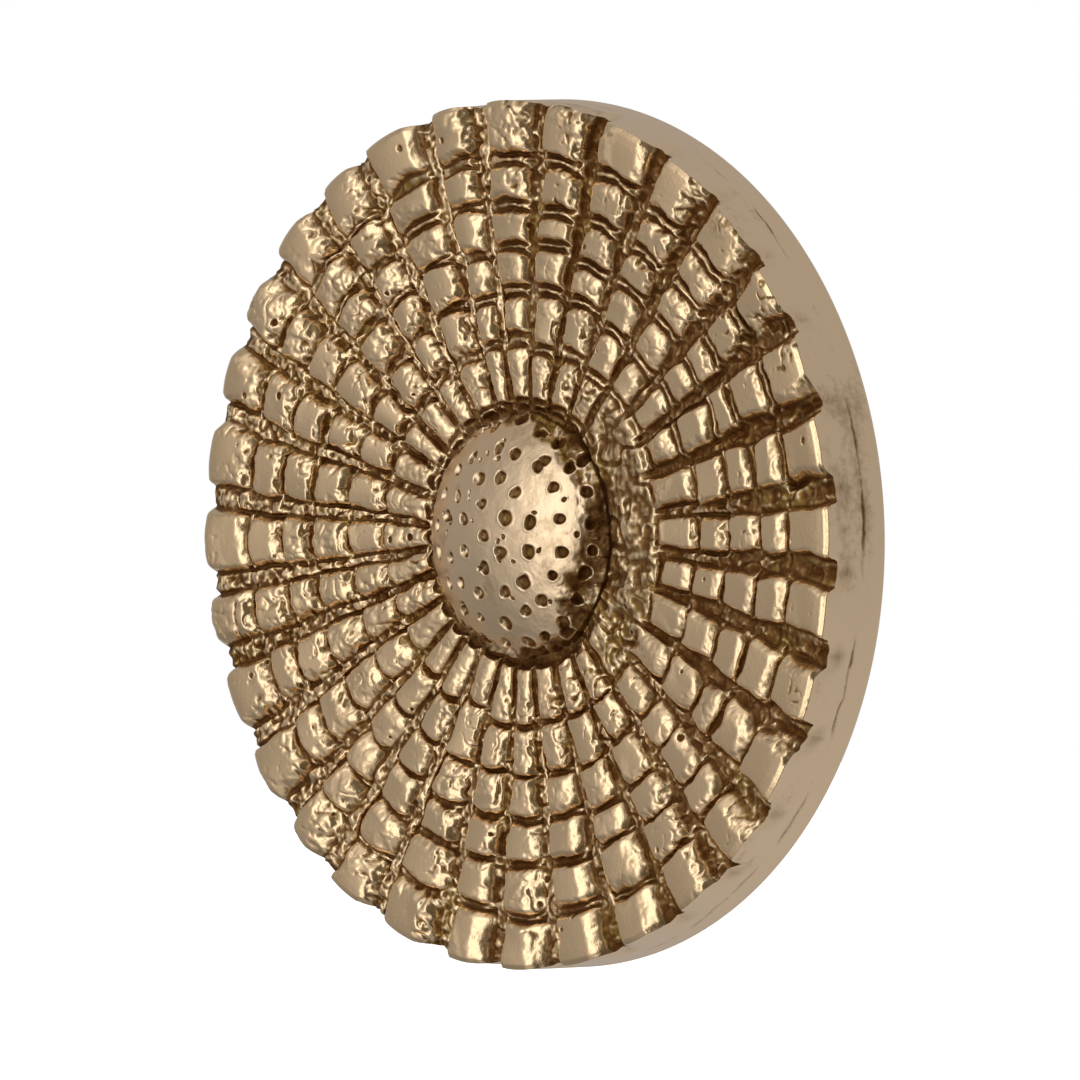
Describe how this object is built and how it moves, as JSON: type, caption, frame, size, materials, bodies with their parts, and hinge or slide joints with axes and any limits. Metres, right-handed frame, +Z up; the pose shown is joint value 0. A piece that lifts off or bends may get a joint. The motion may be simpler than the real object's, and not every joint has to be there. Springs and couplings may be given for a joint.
{
  "type": "cabinet knob",
  "caption": "Round brass knob: a slightly dished disc with a petal-relief face and a dimpled centre boss, on a turned post threaded from behind.",
  "frame": {"origin": "centre of the post's foot, where it seats on the drawer front", "axes": "+Y out of the foot along the knob's axis, into the drawer front; the face looks towards -Y; +Z up"},
  "size_m": [0.045, 0.0208, 0.045],
  "materials": {
    "antiqued_brass": "cast, darkened brown in the grooves and dimples, polished on the high surfaces, satin on the side wall",
    "turned_brass": "turned, satin, with fine rings of tool marks"
  },
  "bodies": {
    "root": {"head": "antiqued_brass", "centre_boss": "antiqued_brass", "post": "turned_brass"}
  },
  "joints": []
}
